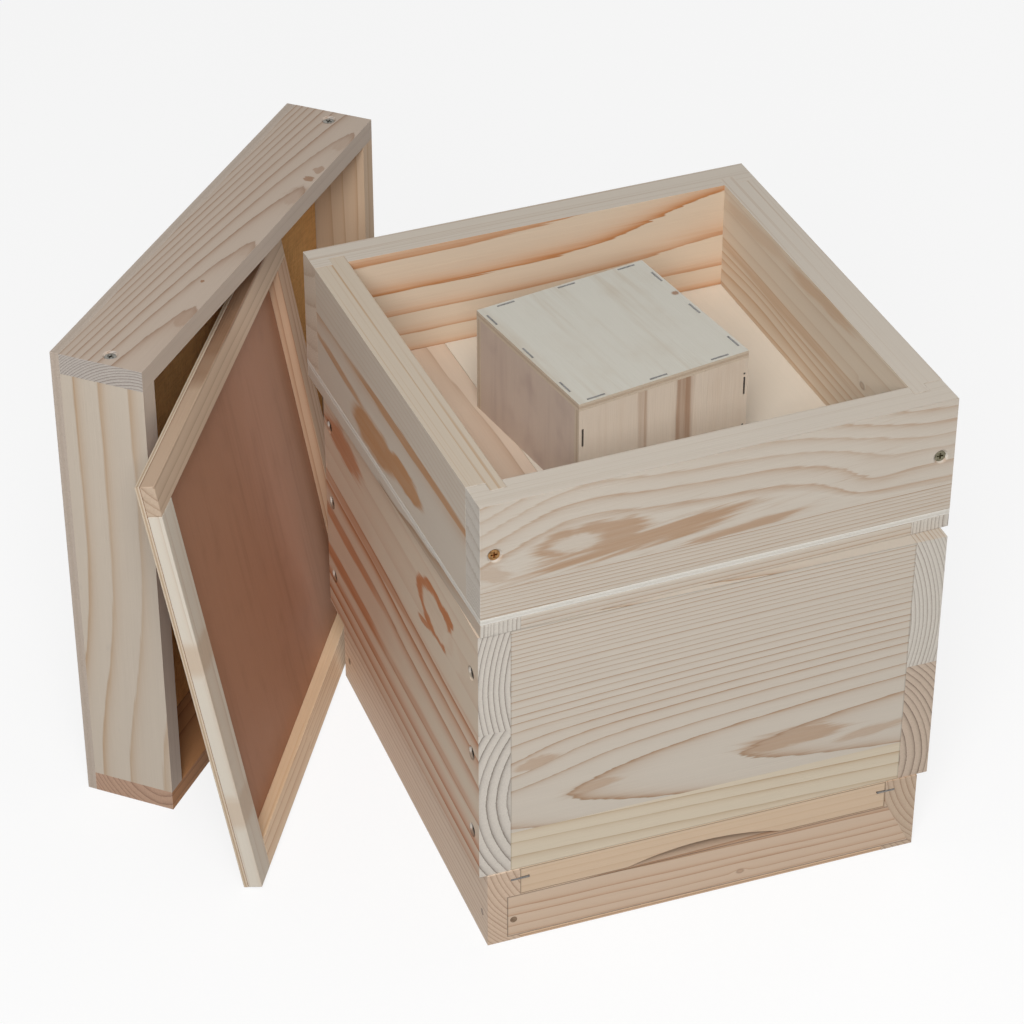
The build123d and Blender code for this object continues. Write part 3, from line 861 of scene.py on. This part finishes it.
# Hood
HOOD_EDGE = rgb(200, 184, 164)
HOOD_EDGE_DARK = rgb(182, 161, 140)
plywood("hood_top", rgb(200, 196, 185), rgb(174, 154, 130), HOOD_EDGE, HOOD_EDGE_DARK,
        knots=[(17, 56, 2.5)], streaky=0.7)
plywood("hood_front_panel", rgb(210, 195, 178), rgb(190, 164, 140), HOOD_EDGE, HOOD_EDGE_DARK,
        short_grain=True, bands=[(14, 7, 0.6), (17, 2, 0.4), (10, 1.5, 0.3), (-15, 3.5, 0.3), (-13, 1, 0.3)])
plywood("hood_left_panel", rgb(196, 178, 164), rgb(160, 138, 132), HOOD_EDGE, HOOD_EDGE_DARK,
        short_grain=True, streaky=0.4, blotchy=0.7)
for side in ("right", "back"):
    plywood(f"hood_{side}_panel", rgb(194, 176, 158), rgb(172, 148, 126), HOOD_EDGE, HOOD_EDGE_DARK,
            short_grain=True)

# Crown board
plywood("crown_panel", rgb(169, 126, 101), rgb(142, 102, 80), rgb(204, 188, 166), rgb(172, 144, 118),
        short_grain=True, streaky=0.8, blotchy=0.6)
pine("crown_top_rail", Plank("cocoa", (28, 30), 5.0, strength=0.45), wander=3.0,
     patches=[Patch(-70, 13, 210, 4, 0.33, edge=0.15, crooked=0.05),
              Patch(65, 13, 140, 4, 1.0, edge=0.15, ragged=0.08, crooked=0.05)])
# The rail's light amber tone is painted light on a rail that lies in shade
pine("crown_bottom_rail", Plank("amber", (-20, 25), 5.0), edges="apricot", wander=4.0, joints=[-10])
pine("crown_near_stile", Plank("ivory", (18, 22), 7.0, strength=0.35), wander=4.0, joints=[-70, 45],
     patches=[Patch(36, 0, 12, 30, 0.45, edge=0.3), Patch(-80, 0, 12, 30, 0.4, edge=0.3)])
pine("crown_far_stile", Plank("copper", (-18, 22), 5.0), wander=4.0)

# Roof
# The roof boards' edges take a paler tone, painted light where they lie in shade
pine("roof_upper_side", Plank("grey", (24, 59), 3.3, slope=(0.0, 0.04), phase=0.683),
     edges="painted_light_edges", wander=0.8, uneven=0.05, end_fine=2.0, bores=[(154, 2)],
     patches=[Patch(56, 23, 13, 6, 0.4), Patch(-104, 24, 10, 5, 0.5), Patch(-16, 25, 8, 5, 0.3),
              Patch(128, 23, 9, 5, 0.35), Patch(79, 22, 3, 4, 0.9, edge=0.1, crooked=0.6),
              Patch(92, 23.5, 5, 3, 0.6, edge=0.1, crooked=0.6),
              Patch(-60, 15, 1.6, 1.2, 1.0, edge=0.1, ragged=0.0)])
pine("roof_lower_side", Plank("russet", (20, -25), 4.5), wander=4.0)
pine("roof_near_side",
     Plank("parchment", (120, 40), 17.5, phase=0.915, fade=0.18, soft=0.08, rim=0.1, strength=1.05,
           bends=[(-150, 0, 100, 200, -19)]),
     edges="painted_light_edges", wander=1.5, uneven=0.02, stains=0.5)
pine("roof_far_side", Plank("honey", (-40, 60), 8.0, strength=0.7), wander=4.0)
plywood("roof_cover_ply", rgb(198, 188, 174), rgb(178, 158, 136), rgb(183, 169, 156), rgb(178, 163, 149))
fibreboard("roof_softboard", rgb(236, 183, 118), rgb(194, 146, 92))

# Fasteners: bright and dull colour, and roughness
ZINC = (rgb(132, 132, 128), rgb(76, 74, 70), 0.36)
BRIGHT_ZINC = (rgb(148, 145, 138), rgb(94, 91, 86), 0.36)
OLIVE_ZINC = (rgb(134, 128, 108), rgb(84, 79, 65), 0.36)
# Dark colours of the brood box's screws: painted shade of the holes they sit in; the roughness is their own
# dull finish
SHADED_DULL_ZINC = (rgb(72, 70, 66), rgb(40, 38, 36), 0.45)
STAPLE_STEEL = (rgb(138, 136, 134), rgb(96, 95, 93), 0.45)
BROWN_STEEL = (rgb(140, 118, 98), rgb(96, 78, 62), 0.45)
YELLOW_ZINC = (rgb(172, 130, 84), rgb(100, 72, 44), 0.34)
FASTENERS = {
    "hood_pins": ZINC,
    "roof_screws": BRIGHT_ZINC,
    "feeder_screws": OLIVE_ZINC,
    "brood_screws": SHADED_DULL_ZINC,
    "entrance_staples": STAPLE_STEEL,
    "hood_staples": STAPLE_STEEL,
    "floor_nails": BROWN_STEEL,
    "feeder_yellow_screw": YELLOW_ZINC,
}
for name, finish in FASTENERS.items():
    plated(name, *finish)


# Stage

def background_rays(tree):
    """1 for rays that look straight at the backdrop or see it in metal or glass."""
    camera = make(tree, "ShaderNodeLightPath", output="Is Camera Ray")
    glossy = make(tree, "ShaderNodeLightPath", output="Is Glossy Ray")
    through = make(tree, "ShaderNodeLightPath", output="Is Transmission Ray")
    return camera.maths("MAXIMUM", glossy).maths("MAXIMUM", through)


def make_floor():
    """A white floor that keeps a soft shadow."""
    bpy.ops.mesh.primitive_plane_add(size=FLOOR_SIZE, location=(0, 0, -FLOOR_DROP))
    floor = bpy.context.object
    floor.name = "studio_floor"
    material, tree = new_material("studio_floor")
    seen = background_rays(tree)
    grey = (FLOOR_GREY, FLOOR_GREY, FLOOR_GREY, 1.0)
    white = (FLOOR_WHITE, FLOOR_WHITE, FLOOR_WHITE, 1.0)
    matt = make(tree, "ShaderNodeBsdfDiffuse", {"Color": mixed(seen, grey, white)})
    glow = make(tree, "ShaderNodeEmission", {"Color": (1, 1, 1, 1), "Strength": 1.0})
    surface = make(tree, "ShaderNodeMixShader", {0: seen * FLOOR_GLOW, 1: matt, 2: glow})
    make(tree, "ShaderNodeOutputMaterial", {"Surface": surface})
    floor.data.materials.append(material)


def make_world():
    """White where it is seen, softer where it lights the object."""
    world = bpy.data.worlds.new("studio")
    world.use_nodes = True
    tree = world.node_tree
    tree.nodes.clear()
    strength = background_rays(tree) * (1.0 - AMBIENT) + AMBIENT
    sky = make(tree, "ShaderNodeBackground", {"Color": (1, 1, 1, 1), "Strength": strength})
    make(tree, "ShaderNodeOutputWorld", {"Surface": sky})
    bpy.context.scene.world = world


def make_lamps():
    """Large soft lamps that face the hive."""
    for name, (direction, power) in LAMPS.items():
        data = bpy.data.lights.new(name, "AREA")
        data.shape = "DISK"
        data.size = LAMP_SIZE
        data.energy = power
        lamp = bpy.data.objects.new(name, data)
        towards = Vector(direction).normalized()
        lamp.location = towards * LAMP_DISTANCE
        lamp.rotation_euler = towards.to_track_quat("Z", "Y").to_euler()
        bpy.context.scene.collection.objects.link(lamp)


def make_camera():
    """The camera, at the photo's viewing angle."""
    data = bpy.data.cameras.new("camera")
    data.sensor_width = CAMERA_SENSOR
    data.lens = CAMERA_LENS
    camera = bpy.data.objects.new("camera", data)
    camera.location = CAMERA_EYE
    camera.rotation_euler = (math.radians(90 - CAMERA_ELEVATION), 0, math.radians(CAMERA_AZIMUTH))
    bpy.context.scene.collection.objects.link(camera)
    bpy.context.scene.camera = camera


make_floor()
make_world()
make_lamps()
make_camera()
bpy.context.scene.view_settings.view_transform = "Standard"
